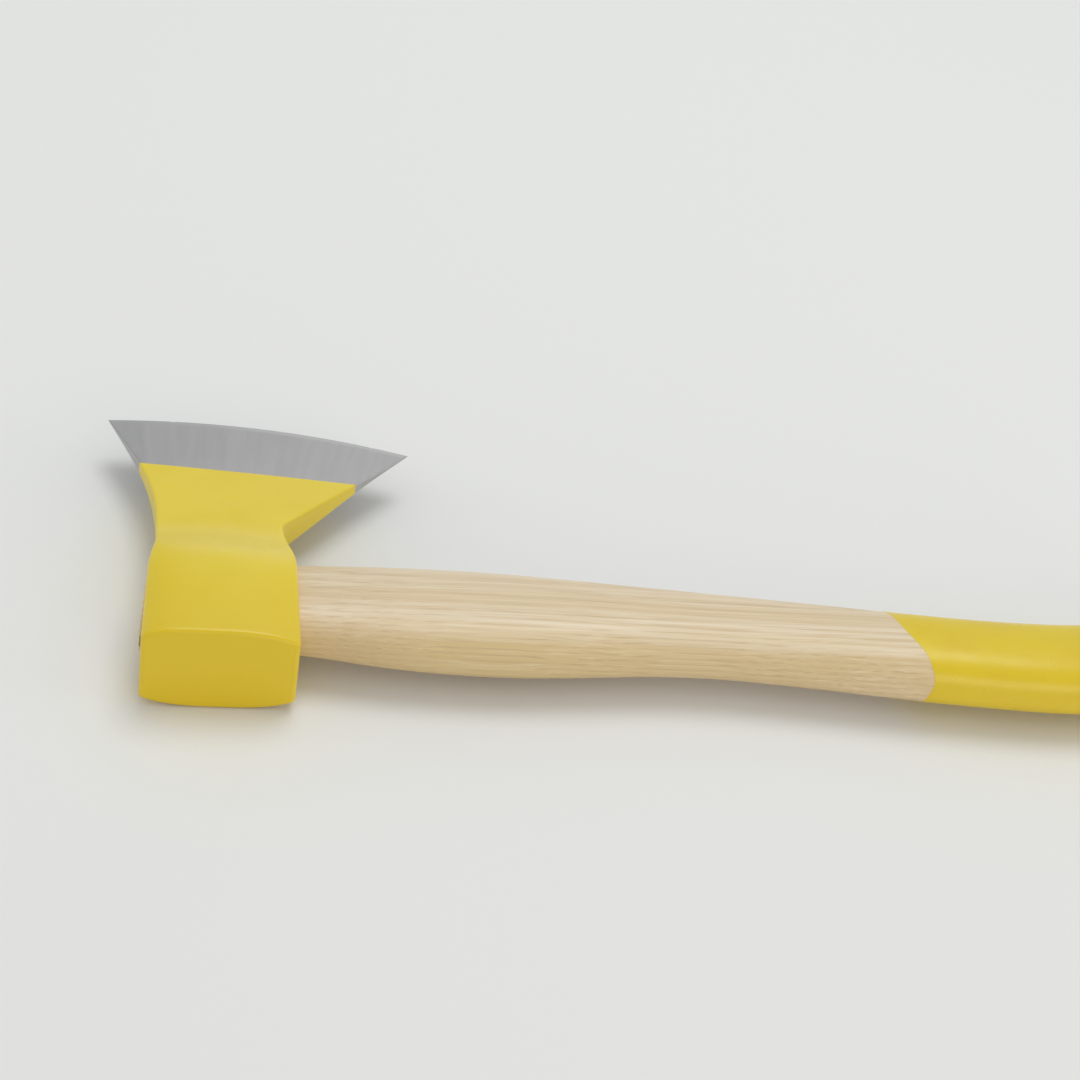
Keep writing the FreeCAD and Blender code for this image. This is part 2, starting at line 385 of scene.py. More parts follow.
def head_rows():
    """Every loop of the head from the poll to the cutting edge: row curve, inset and slot."""
    def level(y):
        return lambda x: np.full_like(np.asarray(x, float), y)

    def between(first, second, share):
        return lambda x: first(x) * (1 - share) + second(x) * share

    def paint_edge(x):
        return paint_y(x) - PAINT_THICKNESS

    def bevel(x):
        return edge_y(x, MICRO_BEVEL[0])

    rows = []
    for angle in np.linspace(0, math.pi / 2, POLL_ROUND_ROWS):
        rows.append((level(POLL_ROUNDING * (1 - math.cos(angle))),
                     POLL_ROUNDING * (1 - math.sin(angle)), 0))
    for y in np.linspace(POLL_ROUNDING, NECK_ROWS_Y, EYE_ROWS)[1:]:
        rows.append((level(y), 0.0, 0))
    for share in np.linspace(0, 1, NECK_ROWS)[1:]:
        rows.append((between(level(NECK_ROWS_Y), paint_edge, share), 0.0, 0))
    for share in np.linspace(0, 1, BIT_ROWS):
        rows.append((between(paint_y, bevel, share), PAINT_THICKNESS, 1))
    for share in BEVEL_SHARES:
        rows.append((between(bevel, edge_y, share), PAINT_THICKNESS, 1))
    rows.append((edge_y, 0.0, 1))
    return rows


def oval(angle, x, grow=0.0):
    """Y and Z on the handle's outline at an angle round it."""
    sections = np.array(HANDLE_SECTIONS)
    middle, half_y, half_z = (natural_spline(sections[:, 0], sections[:, i], x) for i in (1, 2, 3))
    k = SECTION_FULLNESS
    y = (np.cos(angle) - k * np.cos(3 * angle)) / (1 - k)
    z = (np.sin(angle) + k * np.sin(3 * angle)) / (1 - k)
    return middle + (half_y + grow) * y, (half_z + grow) * z


def eye_opening(skin, walls, wall_x, inward):
    """Fills a wall round the eye and returns the first loop of the eye's own surface."""
    loop = walls[0][::-1] + [wall[0] for wall in walls[1:-1]]
    loop += walls[-1] + [wall[-1] for wall in walls[-2:0:-1]]
    rows = len(walls) - 1
    steps = len(walls[0]) - 1
    # The loop's vertices as places on a square's border, and their angles from its middle.
    square = [(-1, 2 * k / steps - 1) for k in range(steps + 1)]
    square += [(2 * i / rows - 1, 1) for i in range(1, rows)]
    square += [(1, 1 - 2 * k / steps) for k in range(steps + 1)]
    square += [(2 * i / rows - 1, -1) for i in range(rows - 1, 0, -1)]
    angle = np.array([math.atan2(v, u) for u, v in square])
    outside = np.array([skin.points[i][1:] for i in loop])
    x_wall = float(wall_x(0))
    rim = np.stack(oval(angle, x_wall, EYE_CLEARANCE + EYE_DEBURR), 1)
    previous = loop
    for share in EYE_WALL_SHARES:
        flat = outside * (1 - share) + rim * share
        ring = skin.add(np.column_stack([wall_x(flat[:, 0]), flat]))
        skin.strip(previous, ring, closed=True)
        previous = ring
    bore = np.stack(oval(angle, x_wall, EYE_CLEARANCE), 1)
    ring = skin.add(np.column_stack([wall_x(bore[:, 0]) + inward * EYE_DEBURR, bore]))
    skin.strip(previous, ring, closed=True)
    return ring, angle


def forge(points):
    """Sinks a loop's cheeks unevenly, as if hammered."""
    sink = [sum(height * (1 + waves(*point, size, seed)) for height, size, seed in FORGED_BUMPS)
            for point in points]
    fade = np.clip(np.abs(points[:, 2]) / FORGED_FADE, 0, 1)
    points[:, 2] -= np.sign(points[:, 2]) * np.array(sink) * fade


def wear(points):
    """Closes the last loop to a dulled cutting edge with small nicks."""
    points[:, 2] = 0.0
    points[:, 1] -= EDGE_WEAR
    for x, depth, width in NICKS:
        points[:, 1] -= depth * np.exp(-((points[:, 0] - x) / width) ** 2)


def head_mesh(materials):
    skin = Skin()
    rows = head_rows()
    loops = []
    for row, inset, _ in rows:
        points = head_loop(row, inset)
        if row is edge_y:
            wear(points)
        else:
            forge(points)
        loops.append(skin.add(points))
    levels = [float(row(0.0)) for row, _, _ in rows]
    first = next(i for i, y in enumerate(levels) if y > EYE_PATCH[0])
    last = next(i for i, y in enumerate(levels) if y > EYE_PATCH[1])
    heel_segments = range(UPPER_COUNT - 1, LOWER_START)
    toe_segments = range(LOWER_START + UPPER_COUNT - 1, LOOP_COUNT)
    walls = set(heel_segments) | set(toe_segments)
    for i in range(len(rows) - 1):
        skip = walls if first <= i < last else ()
        skin.strip(loops[i], loops[i + 1], closed=True, slot=rows[i][2], skip=skip)
    patch = loops[first:last + 1]
    toe_ring, angle = eye_opening(skin, [toe_wall_ids(loop) for loop in patch], toe_x, 1)
    heel_ring, _ = eye_opening(skin, [heel_wall_ids(loop) for loop in patch], heel_x, -1)
    eye_bore(skin, toe_ring, heel_ring, angle)
    poll_cap(skin, loops[0])
    return skin.build("axe_head_detailed", materials)


def eye_bore(skin, toe_ring, heel_ring, angle):
    """The wall of the eye, between the loops at its two openings."""
    toe = np.array([skin.points[i][0] for i in toe_ring])
    heel = np.array([skin.points[i][0] for i in heel_ring])
    previous = toe_ring
    for share in np.linspace(0, 1, EYE_LOOPS)[1:-1]:
        x = toe * (1 - share) + heel * share
        ring = skin.add(np.column_stack([x, *oval(angle, x, EYE_CLEARANCE)]))
        skin.strip(previous, ring, closed=True)
        previous = ring
    skin.strip(previous, heel_ring, closed=True)


def poll_cap(skin, loop):
    """The poll face, as columns of quads between the upper and lower rim."""
    columns = [toe_wall_ids(loop)]
    depth, size, seed = POLL_BUMPS
    share = np.linspace(0, 1, 2 * WALL_STEPS + 1)[1:-1]
    for j in range(1, UPPER_COUNT - 1):
        top = loop[j]
        bottom = loop[LOWER_START + UPPER_COUNT - 1 - j]
        x, _, high = skin.points[top]
        low = skin.points[bottom][2]
        heights = high + (low - high) * share
        column = [(x, depth * (1 + waves(x, 0, z, size, seed)), z) for z in heights]
        columns.append([top] + skin.add(column) + [bottom])
    columns.append(heel_wall_ids(loop))
    for first, second in zip(columns, columns[1:]):
        skin.strip(first, second)


# ---------------------------------------------------------------- the handle and its wedges
def handle_row(x0, lean, grow, trim):
    """One loop round the handle, leaning with the grip's paint or with the trimmed end."""
    angle = np.linspace(0, 2 * math.pi, HANDLE_AROUND, endpoint=False)
    x = np.full(HANDLE_AROUND, x0)
    for _ in range(LEAN_ROUNDS):
        y, z = oval(angle, x, grow)
        ripple = sum(height * np.sin(count * angle + phase) for height, count, phase in DIP_RIPPLES)
        x = x0 + lean * (DIP_SLOPE * (y - DIP_MIDDLE[1]) + ripple)
        x = x + trim * (cut_x(y) - TONGUE_END_X)
    y, z = oval(angle, x, grow)
    points = np.stack([x, y, z], 1)
    push = np.array([sum(height * waves(*point, size, seed) for height, size, seed in HANDLE_BUMPS)
                     for point in points])
    away = np.stack([np.zeros(HANDLE_AROUND), np.cos(angle), np.sin(angle)], 1)
    return points + away * push[:, None]


def cut_x(y):
    """X of the trimmed end of the tongue."""
    (x0, y0), (x1, y1) = TONGUE_CUT
    return x0 + (y - y0) * (x1 - x0) / (y1 - y0)


def lean_at(x):
    return float(1 - smooth_step(abs(x - DIP_MIDDLE[0]) / DIP_REACH))


def cap(skin, loop, dome, slot):
    """Closes the end of the handle with rings that shrink to its middle."""
    rim = np.array([skin.points[i] for i in loop])
    middle = rim.mean(0)
    previous = loop
    for share in CAP_SHARES:
        points = middle + (rim - middle) * share + (dome * (1 - share ** 2), 0, 0)
        ring = skin.add(points)
        skin.strip(previous, ring, closed=True, slot=slot)
        previous = ring
    centre = skin.add([middle + (dome, 0, 0)])[0]
    skin.fan(previous, centre, slot)


def handle_mesh(materials):
    skin = Skin()
    rounding_start = KNOB_END_X - KNOB_DOME - KNOB_ROUNDING
    dip = DIP_MIDDLE[0]
    # Each row: X, lean with the paint, growth, lean with the trimmed end, material slot.
    rows = [(TONGUE_END_X, 0.0, -TONGUE_CHAMFER, 1.0, 0)]
    for x in np.linspace(TONGUE_END_X + TONGUE_CHAMFER, dip, WOOD_ROWS):
        trim = float(1 - smooth_step((x - TONGUE_END_X - TONGUE_CHAMFER) / TRIM_REACH))
        rows.append((x, lean_at(x), 0.0, trim, 0))
    for x in np.linspace(dip + DIP_THICKNESS, rounding_start, GRIP_ROWS):
        rows.append((x, lean_at(x), DIP_THICKNESS, 0.0, 1))
    for angle in np.linspace(0, math.pi / 2, KNOB_ROUND_ROWS)[1:]:
        rows.append((rounding_start + KNOB_ROUNDING * math.sin(angle), 0.0,
                     DIP_THICKNESS - KNOB_ROUNDING * (1 - math.cos(angle)), 0.0, 1))
    loops = [skin.add(handle_row(*row[:4])) for row in rows]
    for i in range(len(rows) - 1):
        skin.strip(loops[i], loops[i + 1], closed=True, slot=rows[i + 1][4])
    cap(skin, loops[0], 0.0, 0)
    cap(skin, loops[-1], KNOB_DOME, 1)
    return skin.build("handle_detailed", materials)


def block(name, counts, shape, materials):
    """A closed box of quads, moved into place by a function of three numbers from 0 to 1."""
    skin = Skin()
    for axis in range(3):
        others = [i for i in range(3) if i != axis]
        for end in (0.0, 1.0):
            grid = []
            for i in range(counts[others[0]] + 1):
                line = []
                for j in range(counts[others[1]] + 1):
                    place = [0.0, 0.0, 0.0]
                    place[axis] = end
                    place[others[0]] = i / counts[others[0]]
                    place[others[1]] = j / counts[others[1]]
                    line.append(shape(*place))
                grid.append(skin.add(line))
            for first, second in zip(grid, grid[1:]):
                skin.strip(first, second)
    return skin.build(name, materials)


def wood_wedge_mesh(name, materials, cutter=False):
    """The wedge in the saw cut, or the slightly larger shape that makes its slot."""
    grow = SEAM if cutter else 0.0

    def shape(u, v, w):
        """A point from the driven end to the tip (u), across (v) and through the wedge (w)."""
        start = TONGUE_END_X
        x = start + KERF_DEPTH * u + grow * u
        along = (x - start) / KERF_DEPTH
        half = (WEDGE_END_THICKNESS + (WEDGE_TIP_THICKNESS - WEDGE_END_THICKNESS) * along) / 2
        z = (half + grow) * (2 * w - 1)
        middle, half_z = (float(value) for value in oval(math.pi / 2, x))
        half_y = float(oval(0.0, x)[0]) - middle
        reach = half_y * math.sqrt(max(1 - (z / half_z) ** 2, 0))
        reach += CUTTER_REACH if cutter else -SEAM
        y = middle + reach * (2 * v - 1)
        if cutter:
            x -= CUTTER_REACH * (1 - u)
        else:
            depth, size, seed = SPLINTERS
            x += (cut_x(y) - start + depth * (1 + waves(x, y, z, size, seed))) * (1 - u) ** 2
        return x, y, z
    return block(name, WEDGE_COUNTS, shape, materials)


def ring_mesh(name, materials, profile, burr=0.0):
    """A closed profile of radius and X turned about the middle of the tongue."""
    _, size, seed = RING_BURR
    skin = Skin()
    loops = []
    middle_y = HANDLE_SECTIONS[0][1]
    for i in range(RING_AROUND):
        angle = 2 * math.pi * i / RING_AROUND
        points = []
        for radius, x in profile:
            y = middle_y + radius * math.cos(angle)
            z = radius * math.sin(angle)
            points.append((x + burr * (1 + waves(x, y, z, size, seed)), y, z))
        loops.append(skin.add(points))
    for i in range(RING_AROUND):
        skin.strip(loops[i], loops[(i + 1) % RING_AROUND], closed=True)
    return skin.build(name, materials)


def ring_profile(grow, start, end, soft):
    """Corners of the ring's wall, rounded at the driven end and thinned at the other."""
    outer = RING_OUTER_RADIUS + grow
    inner = RING_OUTER_RADIUS - RING_WALL - grow
    waist = start + RING_WAIST * (end - start)
    points = []
    for angle in np.linspace(0, math.pi / 2, RING_ROUND_POINTS):
        points.append((inner + soft * (1 - math.cos(angle)), start + soft * (1 - math.sin(angle))))
    for angle in np.linspace(math.pi / 2, 0, RING_ROUND_POINTS):
        points.append((outer - soft * (1 - math.cos(angle)), start + soft * (1 - math.sin(angle))))
    return points + [(outer, waist), (outer - soft, end), (inner + soft, end), (inner, waist)]


# ---------------------------------------------------------------- materials
class Graph:
    """A material's node graph, with short ways to add the nodes used here."""

    def __init__(self, name):
        self.material = bpy.data.materials.new(name)
        self.material.use_nodes = True
        self.tree = self.material.node_tree
        self.shader = self.tree.nodes["Principled BSDF"]
        self.place = self.tree.nodes.new("ShaderNodeTexCoord").outputs["Object"]

    def put(self, kind, inputs=(), **settings):
        """Adds a node; inputs are by index, each a socket to link or a value to set."""
        node = self.tree.nodes.new("ShaderNode" + kind)
        for key, value in settings.items():
            setattr(node, key, value)
        for i, value in enumerate(inputs):
            self.feed(node.inputs[i], value)
        return node

    def feed(self, socket, value):
        if isinstance(value, bpy.types.NodeSocket):
            self.tree.links.new(value, socket)
        elif value is not None:
            socket.default_value = value

    def shade(self, **values):
        """Sets or links the shader's own sockets, underscores for spaces."""
        for key, value in values.items():
            self.feed(self.shader.inputs[key.replace("_", " ")], value)

    def math(self, operation, first, second=0.0):
        return self.put("Math", (first, second), operation=operation).outputs[0]

    def stretch(self, factors):
        """The place scaled along each axis, for patterns that run one way."""
        return self.put("Mapping", (self.place, None, None, factors)).outputs[0]

    def noise(self, where, scale, detail, roughness=0.5):
        node = self.put("TexNoise")
        self.feed(node.inputs["Vector"], where)
        self.feed(node.inputs["Scale"], scale)
        self.feed(node.inputs["Detail"], detail)
        self.feed(node.inputs["Roughness"], roughness)
        return node.outputs[0]

    def spread(self, value, low, high, to_low=0.0, to_high=1.0):
        """Maps a range of values to another, clamped."""
        node = self.put("MapRange", (value, low, high, to_low, to_high), clamp=True)
        return node.outputs[0]

    def blend(self, share, first, second):
        """Mixes two colours."""
        node = self.put("Mix", data_type="RGBA")
        self.feed(node.inputs[0], share)
        self.feed(node.inputs[6], first)
        self.feed(node.inputs[7], second)
        return node.outputs[2]

    def bump(self, height, distance, normal=None):
        """A normal bent by a height, whose full range is a distance in metres."""
        node = self.put("Bump")
        self.feed(node.inputs["Distance"], distance)
        self.feed(node.inputs["Height"], height)
        if normal is not None:
            self.feed(node.inputs["Normal"], normal)
        return node.outputs[0]


YELLOW = (0.80, 0.615, 0.022, 1)
YELLOW_DEEP = (0.77, 0.575, 0.012, 1)
YELLOW_WORN = (0.82, 0.64, 0.06, 1)
YELLOW_COAT_AND_SHADE = (0.745, 0.53, 0.008, 1)  # painted shade: a deeper yellow towards the poll and over the grip, on the grip partly a heavier dipped coat
STEEL_LIGHT = (0.50, 0.492, 0.493, 1)
STEEL_DARK = (0.453, 0.445, 0.448, 1)
ASH_PALE = (0.825, 0.70, 0.53, 1)
ASH_MIDDLE = (0.75, 0.595, 0.395, 1)
ASH_TAN = (0.66, 0.485, 0.27, 1)
ASH_SHADED_SIDE = (0.665, 0.50, 0.215, 1)
ASH_DARK = (0.50, 0.34, 0.17, 1)
WEDGE_DARK = (0.34, 0.205, 0.105, 1)
WEDGE_PALE = (0.55, 0.38, 0.22, 1)
WEDGE_STAIN = (0.25, 0.15, 0.08, 1)
MILD_STEEL_DARK = (0.30, 0.30, 0.31, 1)
MILD_STEEL_LIGHT = (0.52, 0.52, 0.53, 1)
RUST = (0.16, 0.085, 0.05, 1)
PALE_FLOOR = (0.84, 0.835, 0.835, 1)
POLL_SHADE_Y = 42.0         # painted shade: the head's paint deepens from here to the poll
HEAD_SHADE_X = (24.0, 62.0)      # painted shade next to the head, on the poll side, fades out between these
SHADE_WEAKER_X = (90.0, 220.0)   # and the painted shade on the poll side gets weaker between these
SHADE_EDGE_Y = 16.5         # painted shade: the wood is darker on the poll side of this, in millimetres
SHADE_FADE = 4.0            # and changes over this distance to each side of it
RIDGE_LINE_Y = 26.2          # one pale line along the handle's ridge, partly a growth ring and partly painted highlight: its Y at the head's middle
RIDGE_LINE_LEAN = 0.053      # and how fast it comes down along X
RINGS_PER_METRE = 470.0     # of the ash, along Z
RING_TILT = 0.55            # how far a ring drops in Z for each unit of Y
RING_SWAY = 0.012           # how far the rings wander, in metres
ZONE_SWAY = 0.007           # how far the edges of the wood's colours wander, in metres
# How often the wood's patterns repeat in a metre along and across the grain.
SWAY_GRAIN = (2.6, 16.0, 16.0)
PORE_GRAIN = (22.0, 2600.0, 2600.0)
FIBRE_GRAIN = (6.0, 1300.0, 1300.0)
ZONE_GRAIN = (4.0, 150.0, 150.0)
BROAD_GRAIN = (2.5, 170.0, 170.0)
WEDGE_GRAIN = (60.0, 1500.0, 1500.0)

# In the materials below, a noise's numbers are its scale, in repeats per metre or 1 where a
# grain stretches it, then its detail and its roughness. Shares run from 0 to 1.


def head_paint():
    """Sprayed enamel over forged steel: faint orange peel, soft gloss, a little handling grime, and
    painted shade deepening towards the poll.
    """
    g = Graph("head_enamel")
    cloud = g.noise(g.place, 38.0, 3.0)
    grime = g.spread(g.noise(g.place, 110.0, 5.0, 0.62), 0.56, 0.74)
    colour = g.blend(g.spread(cloud, 0.35, 0.65), YELLOW, YELLOW_DEEP)
    colour = g.blend(g.math("MULTIPLY", grime, 0.16), colour, YELLOW_WORN)
    # painted shade: the yellow deepens and warms from the eye to the poll
    from_poll = g.math("SUBTRACT", g.put("SeparateXYZ", (g.place,)).outputs[1], float(ORIGIN[1]))
    colour = g.blend(g.spread(from_poll, 0.0, POLL_SHADE_Y * MM, 0.85, 0.0), colour, YELLOW_COAT_AND_SHADE)
    peel = g.noise(g.place, 900.0, 2.0, 0.4)
    dust = g.spread(g.noise(g.place, 2600.0, 1.0), 0.68, 0.80)
    height = g.math("ADD", peel, g.math("MULTIPLY", dust, 0.35))
    forged = g.bump(g.noise(g.place, 120.0, 2.0), 0.12 * MM)
    rough = g.spread(g.noise(g.place, 260.0, 4.0, 0.6), 0.3, 0.7, 0.30, 0.42)
    g.shade(Base_Color=colour, Roughness=rough, Normal=g.bump(height, 0.02 * MM, forged))
    g.shade(IOR=1.5, Coat_Weight=0.12, Coat_Roughness=0.16)
    return g.material


def bare_steel():
    """Ground steel: fine lines square to the cutting edge and a light oil film."""
    g = Graph("ground_steel")
    centre = (np.array([EDGE_CENTRE_X, EDGE_CENTRE_Y, 0.0]) * MM + ORIGIN).tolist()
    away = g.put("VectorMath", (g.place, centre), operation="SUBTRACT").outputs[0]
    split = g.put("SeparateXYZ", (away,)).outputs
    angle = g.math("ARCTAN2", split[0], split[1])
    radius = g.math("SQRT", g.math("ADD", g.math("MULTIPLY", split[0], split[0]),
                                   g.math("MULTIPLY", split[1], split[1])))
    along = g.put("CombineXYZ", (g.math("MULTIPLY", angle, EDGE_RADIUS * MM),
                                 g.math("MULTIPLY", radius, 0.03), split[2])).outputs[0]
    lines = g.noise(along, 2300.0, 4.0, 0.7)
    broad = g.noise(along, 330.0, 3.0, 0.6)
    mist = g.noise(g.place, 70.0, 4.0, 0.6)
    colour = g.blend(g.spread(broad, 0.3, 0.7), STEEL_DARK, STEEL_LIGHT)
    colour = g.blend(g.spread(lines, 0.25, 0.75, 0.0, 0.5), colour, STEEL_DARK)
    colour = g.blend(g.spread(mist, 0.5, 0.8, 0.0, 0.25), colour, STEEL_LIGHT)
    rough = g.spread(g.math("ADD", g.math("MULTIPLY", broad, 0.6), g.math("MULTIPLY", mist, 0.4)),
                     0.35, 0.65, 0.36, 0.42)
    g.shade(Base_Color=colour, Roughness=rough, Metallic=1.0)
    g.shade(Normal=g.bump(lines, 0.004 * MM))
    return g.material


def ash_layers(g):
    """Growth rings, pores and fibre of ring-porous wood that runs along X."""
    bent = g.noise(g.stretch(SWAY_GRAIN), 1.0, 2.0)
    split = g.put("SeparateXYZ", (g.place,)).outputs
    across = g.math("ADD", g.math("ADD", split[2], g.math("MULTIPLY", split[1], RING_TILT)),
                    g.math("MULTIPLY", bent, RING_SWAY))
    rings = g.math("FRACT", g.math("MULTIPLY", across, RINGS_PER_METRE))
    early = g.math("MULTIPLY", g.spread(rings, 0.0, 0.12), g.spread(rings, 0.32, 0.70, 1.0, 0.0))
    pores = g.spread(g.noise(g.stretch(PORE_GRAIN), 1.0, 2.0, 0.5), 0.48, 0.66)
    fibre = g.noise(g.stretch(FIBRE_GRAIN), 1.0, 4.0, 0.72)
    return early, pores, fibre


def ash_zones(g):
    """Painted shade along the poll side, deeper next to the head, and one pale line along the ridge
    that is partly a growth ring and partly painted highlight.
    """
    sway = g.math("MULTIPLY", g.noise(g.stretch(ZONE_GRAIN), 1.0, 4.0, 0.7), ZONE_SWAY)
    split = g.put("SeparateXYZ", (g.place,)).outputs
    x = g.math("SUBTRACT", split[0], float(ORIGIN[0]))
    y = g.math("ADD", g.math("SUBTRACT", split[1], float(ORIGIN[1])), sway)
    # painted shade: darker, warmer wood on the poll side of the handle
    shaded_side = g.spread(y, (SHADE_EDGE_Y - SHADE_FADE) * MM, (SHADE_EDGE_Y + SHADE_FADE) * MM, 1.0, 0.0)
    # painted shade, deeper still next to the head
    near, far = (value * MM for value in HEAD_SHADE_X)
    stain_and_shade = g.math("MULTIPLY", shaded_side, g.spread(x, near, far, 1.0, 0.0))
    near, far = (value * MM for value in SHADE_WEAKER_X)
    shaded_side = g.math("MULTIPLY", shaded_side, g.spread(x, near, far, 1.0, 0.6))
    # a pale line along the ridge: partly a growth ring, partly painted highlight
    layer = g.math("ADD", y, g.math("MULTIPLY", x, RIDGE_LINE_LEAN))
    off = g.math("ABSOLUTE", g.math("SUBTRACT", layer, RIDGE_LINE_Y * MM))
    ring = g.spread(off, 0.4 * MM, 2.2 * MM, 1.0, 0.0)
    return shaded_side, stain_and_shade, ring


def ash_wood():
    """Pale ash, oiled and sanded: straight fine grain, dark pores in the early wood, satin; painted
    shade on the poll side and next to the head, and a pale ridge line that is partly painted
    highlight.
    """
    g = Graph("ash_wood_grain")
    early, pores, fibre = ash_layers(g)
    shaded_side, stain_and_shade, ring = ash_zones(g)
    broad = g.noise(g.stretch(BROAD_GRAIN), 1.0, 3.0, 0.6)
    colour = g.blend(g.spread(broad, 0.34, 0.62), ASH_PALE, ASH_MIDDLE)
    # painted shade along the poll side
    colour = g.blend(g.math("MULTIPLY", shaded_side, 0.85), colour, ASH_SHADED_SIDE)
    colour = g.blend(g.math("MULTIPLY", early, 0.35), colour, ASH_TAN)
    colour = g.blend(g.spread(fibre, 0.42, 0.70, 0.0, 0.65), colour, ASH_TAN)
    colour = g.blend(g.spread(fibre, 0.30, 0.46, 0.5, 0.0), colour, ASH_PALE)
    # the pale ridge line: partly a growth ring, partly painted highlight
    colour = g.blend(g.math("MULTIPLY", ring, 0.4), colour, ASH_PALE)
    # painted shade next to the head
    colour = g.blend(g.math("MULTIPLY", stain_and_shade, 0.45), colour, ASH_DARK)
    marks = g.math("MULTIPLY", pores, g.spread(early, 0.0, 1.0, 0.08, 0.5))
    colour = g.blend(marks, colour, ASH_DARK)
    height = g.math("SUBTRACT", g.math("MULTIPLY", fibre, 0.3), marks)
    rough = g.spread(fibre, 0.3, 0.7, 0.42, 0.55)
    g.shade(Base_Color=colour, Roughness=rough, Normal=g.bump(height, 0.02 * MM))
    g.shade(IOR=1.5, Coat_Weight=0.32, Coat_Roughness=0.35)
    return g.material


def grip_paint():
    """Enamel that the grip was dipped in, a deeper yellow that is partly painted shade, with the
    wood's pores showing through faintly.
    """
    g = Graph("grip_enamel")
    early, pores, fibre = ash_layers(g)
    cloud = g.noise(g.place, 45.0, 3.0)
    # painted shade: the grip's yellow is deeper than the head's, partly a heavier dipped coat
    colour = g.blend(g.spread(cloud, 0.35, 0.65), YELLOW_DEEP, YELLOW_COAT_AND_SHADE)
    marks = g.math("MULTIPLY", pores, early)
    colour = g.blend(g.math("MULTIPLY", marks, 0.1), colour, YELLOW_COAT_AND_SHADE)
    height = g.math("ADD", g.math("MULTIPLY", fibre, 0.25), g.noise(g.place, 700.0, 2.0, 0.4))
    height = g.math("SUBTRACT", height, g.math("MULTIPLY", marks, 0.1))
    rough = g.spread(g.noise(g.place, 190.0, 4.0, 0.6), 0.3, 0.7, 0.26, 0.40)
    g.shade(Base_Color=colour, Roughness=rough, Normal=g.bump(height, 0.03 * MM))
    g.shade(IOR=1.5, Coat_Weight=0.15, Coat_Roughness=0.14)
    return g.material


def wedge_wood():
    """Darker hard wood with straight fine fibre."""
    g = Graph("wedge_wood_grain")
    fibre = g.noise(g.stretch(WEDGE_GRAIN), 1.0, 4.0, 0.65)
    stain_and_shade = g.noise(g.place, 240.0, 3.0)
    colour = g.blend(g.spread(fibre, 0.3, 0.7), WEDGE_DARK, WEDGE_PALE)
    colour = g.blend(g.spread(stain_and_shade, 0.45, 0.75, 0.0, 0.4), colour, WEDGE_STAIN)
    g.shade(Base_Color=colour, Roughness=g.spread(fibre, 0.3, 0.7, 0.55, 0.75))
    g.shade(Normal=g.bump(fibre, 0.08 * MM))
    return g.material


def wedge_steel():
    """Plain mild steel, darkened, with hammer scuffs on the driven rim."""
    g = Graph("wedge_steel_plain")
    scuff = g.noise(g.place, 900.0, 4.0, 0.6)
    rust = g.spread(g.noise(g.place, 420.0, 4.0, 0.6), 0.58, 0.72)
    colour = g.blend(g.spread(scuff, 0.35, 0.65), MILD_STEEL_DARK, MILD_STEEL_LIGHT)
    colour = g.blend(g.math("MULTIPLY", rust, 0.5), colour, RUST)
    g.shade(Base_Color=colour, Metallic=g.spread(rust, 0.0, 1.0, 1.0, 0.5))
    g.shade(Roughness=g.spread(scuff, 0.3, 0.7, 0.32, 0.55), Normal=g.bump(scuff, 0.06 * MM))
    return g.material


# ---------------------------------------------------------------- pieces
def finish_piece(piece, node):
    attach(piece, "root")
    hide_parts(node)


def add_axe():
    head = head_mesh([head_paint(), bare_steel()])
    finish_piece(head, "axe_head")

    handle = handle_mesh([ash_wood(), grip_paint()])
    wedge = wood_wedge_mesh("wood_wedge_detailed", [wedge_wood()])
    ring_end = RING_START_X + RING_DEPTH
    ring = ring_mesh("ring_wedge_detailed", [wedge_steel()],
                     ring_profile(0.0, RING_START_X, ring_end, RING_SOFTNESS), RING_BURR[0])
    slot = ring_profile(SEAM, TONGUE_END_X - CUTTER_REACH, ring_end + SEAM, 0.0)
    kerf = wood_wedge_mesh("kerf_cut", [], cutter=True)
    carve(handle, kerf, ring_mesh("ring_cut", [], slot))
    carve(wedge, ring_mesh("ring_cut", [], slot))
    finish_piece(handle, "handle")
    finish_piece(wedge, "wood_wedge")
    finish_piece(ring, "ring_wedge")


# ---------------------------------------------------------------- floor, light and camera
FLOOR_HALF = 3.0
VIEW_AZIMUTH = math.radians(-12.733)
VIEW_ELEVATION = math.radians(36.0)
VIEW_ROLL = math.radians(10.453)
VIEW_PLACE = (-19.85, -486.93, 418.01)     # from the middle of the poll face, in millimetres
VIEW_LENS = 70.0
SENSOR_WIDTH = 36.0
SKY_COLOUR = (0.96, 0.985, 0.98, 1)
SKY_STRENGTH = 0.58
# Lamps: name, place, target, size in metres, power in watts, colour and beam in degrees.
LAMPS = (
    ("key", (0.3, 0.75, 2.4), (0, 0, 0), 1.5, 19.6, (0.97, 1.0, 0.98), 180),
    ("low_front", (0.5, -1.5, 0.38), (0, 0, 0.02), 1.1, 1.43, (1.0, 0.86, 0.66), 90),
    ("low_back", (0.3, 2.0, 0.5), (0, 0, 0.02), 1.0, 0.34, (1.0, 1.0, 1.0), 90),
    ("low_heel", (1.5, -0.3, 0.3), (0, 0.04, 0.01), 0.9, 0.9, (1.0, 0.98, 0.88), 90),
    ("low_toe", (-1.5, 0.1, 0.35), (-0.1, 0.04, 0.01), 0.9, 0.58, (1.0, 0.99, 0.93), 90),
)


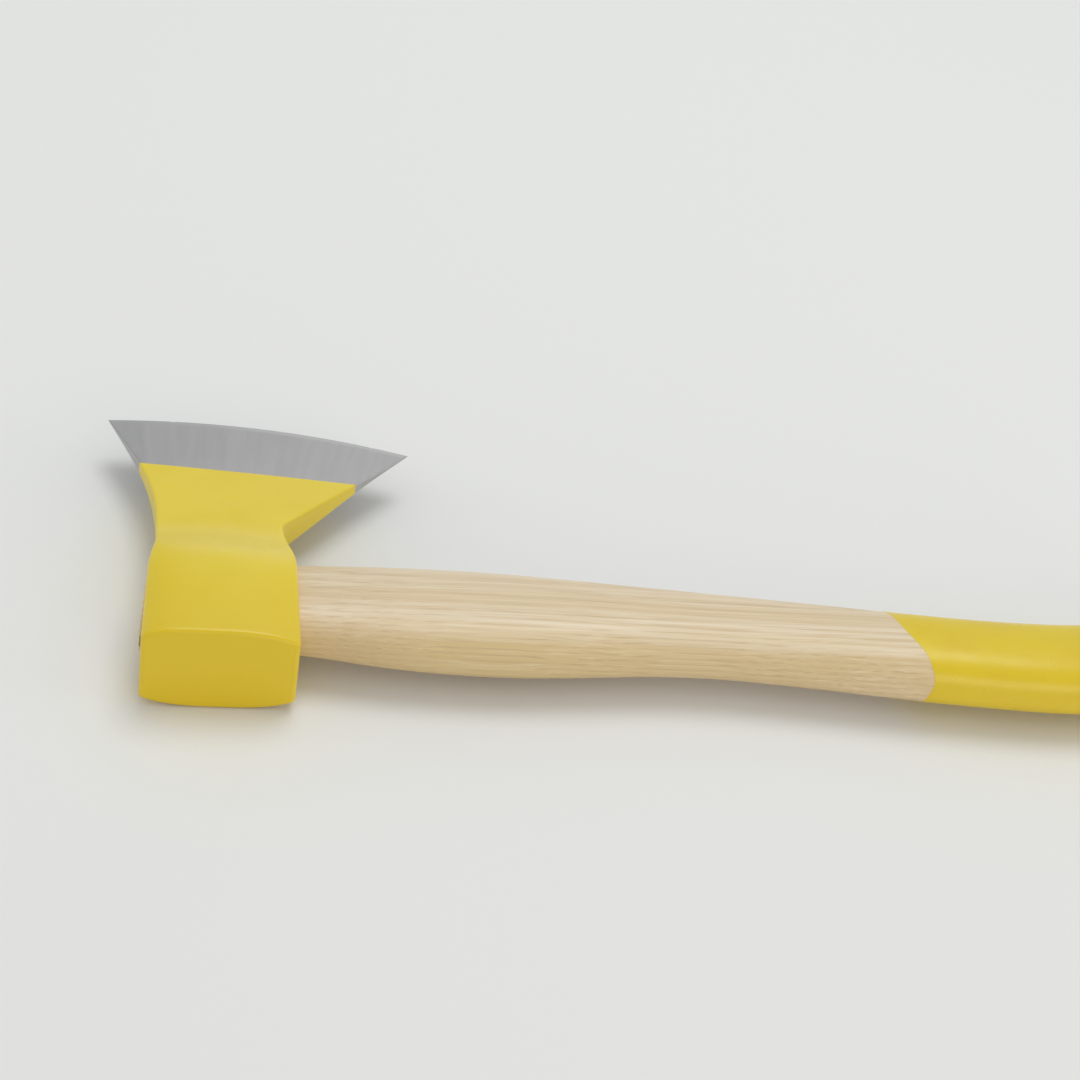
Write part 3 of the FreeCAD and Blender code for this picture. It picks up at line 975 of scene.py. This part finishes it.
def add_floor():
    mesh = bpy.data.meshes.new("studio_floor")
    corners = [(-FLOOR_HALF, -FLOOR_HALF, 0), (FLOOR_HALF, -FLOOR_HALF, 0),
               (FLOOR_HALF, FLOOR_HALF, 0), (-FLOOR_HALF, FLOOR_HALF, 0)]
    mesh.from_pydata(corners, [], [(0, 1, 2, 3)])
    floor = bpy.data.objects.new("studio_floor", mesh)
    bpy.context.scene.collection.objects.link(floor)
    g = Graph("pale_floor")
    g.shade(Base_Color=PALE_FLOOR, Roughness=0.9, Specular_IOR_Level=0.1)
    mesh.materials.append(g.material)


def add_light(name, place, target, size, power, colour, beam):
    """A round lamp; its beam is how widely it shines, in degrees."""
    data = bpy.data.lights.new(name, "AREA")
    data.shape = "DISK"
    data.size = size
    data.energy = power
    data.color = colour
    data.spread = math.radians(beam)
    light = bpy.data.objects.new(name, data)
    light.location = place
    light.rotation_euler = (Vector(target) - Vector(place)).to_track_quat("-Z", "Y").to_euler()
    bpy.context.scene.collection.objects.link(light)


def add_studio():
    world = bpy.data.worlds.new("studio")
    world.use_nodes = True
    world.node_tree.nodes["Background"].inputs["Color"].default_value = SKY_COLOUR
    world.node_tree.nodes["Background"].inputs["Strength"].default_value = SKY_STRENGTH
    bpy.context.scene.world = world
    bpy.context.scene.view_settings.view_transform = "Standard"
    for lamp in LAMPS:
        add_light(*lamp)


def add_camera():
    """The camera, from its direction round and above the axe, its roll and its place."""
    camera = bpy.data.objects.new("camera", bpy.data.cameras.new("camera"))
    camera.data.lens = VIEW_LENS
    camera.data.sensor_width = SENSOR_WIDTH
    a, e, r = VIEW_AZIMUTH, VIEW_ELEVATION, VIEW_ROLL
    back = Vector((math.sin(a) * math.cos(e), -math.cos(a) * math.cos(e), math.sin(e)))
    level = Vector((math.cos(a), math.sin(a), 0))
    upright = back.cross(level)
    right = level * math.cos(r) + upright * math.sin(r)
    up = upright * math.cos(r) - level * math.sin(r)
    place = Vector(np.array(VIEW_PLACE) * MM + ORIGIN)
    camera.matrix_world = Matrix.Translation(place) @ Matrix((right, up, back)).transposed().to_4x4()
    bpy.context.scene.collection.objects.link(camera)
    bpy.context.scene.camera = camera


add_axe()
add_floor()
add_studio()
add_camera()
